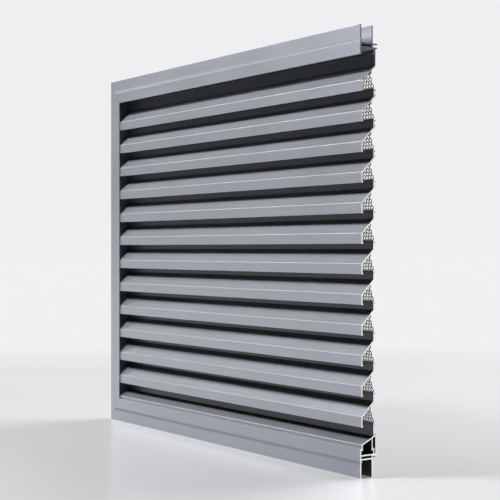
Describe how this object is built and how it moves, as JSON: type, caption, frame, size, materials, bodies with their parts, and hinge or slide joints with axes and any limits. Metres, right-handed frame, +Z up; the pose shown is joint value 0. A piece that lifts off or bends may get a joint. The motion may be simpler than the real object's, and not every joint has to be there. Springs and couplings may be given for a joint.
{
  "type": "fixed louvre panel",
  "caption": "Section of a framed weather louvre: fixed aluminium blades with diamond mesh between a mitred head, jamb and sill, cut square at one end.",
  "frame": {"origin": "middle of the footprint, on the surface that the sill stands on", "axes": "+X along the blades from the mitred jamb to the cut end, +Y from the front face to the rear, +Z up"},
  "size_m": [0.556, 0.0274, 0.4936],
  "materials": {
    "frame_aluminium": "satin",
    "blade_aluminium": "satin",
    "mesh_steel": "expanded metal",
    "mill_aluminium": "mill",
    "clip_polyamide": "matte",
    "rivet_aluminium": "bright",
    "screw_steel": "bright"
  },
  "bodies": {
    "root": {"head_profile": "frame_aluminium", "jamb_profile": "frame_aluminium", "sill_profile": "frame_aluminium", "sill_cap": "blade_aluminium", "blade_01": "blade_aluminium", "blade_02": "blade_aluminium", "blade_03": "blade_aluminium", "blade_04": "blade_aluminium", "blade_05": "blade_aluminium", "blade_06": "blade_aluminium", "blade_07": "blade_aluminium", "blade_08": "blade_aluminium", "blade_09": "blade_aluminium", "blade_10": "blade_aluminium", "blade_11": "blade_aluminium", "blade_12": "blade_aluminium", "mesh_strip_01": "mesh_steel", "mesh_strip_02": "mesh_steel", "mesh_strip_03": "mesh_steel", "mesh_strip_04": "mesh_steel", "mesh_strip_05": "mesh_steel", "mesh_strip_06": "mesh_steel", "mesh_strip_07": "mesh_steel", "mesh_strip_08": "mesh_steel", "mesh_strip_09": "mesh_steel", "mesh_strip_10": "mesh_steel", "mesh_strip_11": "mesh_steel", "mesh_strip_12": "mesh_steel", "top_corner_cleat": "mill_aluminium", "top_cleat_rail_screws": "screw_steel", "top_cleat_jamb_screws": "screw_steel", "bottom_corner_cleat": "mill_aluminium", "bottom_cleat_rail_screws": "screw_steel", "bottom_cleat_jamb_screws": "screw_steel", "left_carrier": "mill_aluminium", "left_blade_clips": "clip_polyamide", "left_carrier_rivets": "rivet_aluminium", "left_carrier_screws": "screw_steel", "right_carrier": "mill_aluminium", "right_blade_clips": "clip_polyamide", "right_carrier_rivets": "rivet_aluminium", "right_carrier_screws": "screw_steel"}
  },
  "joints": []
}
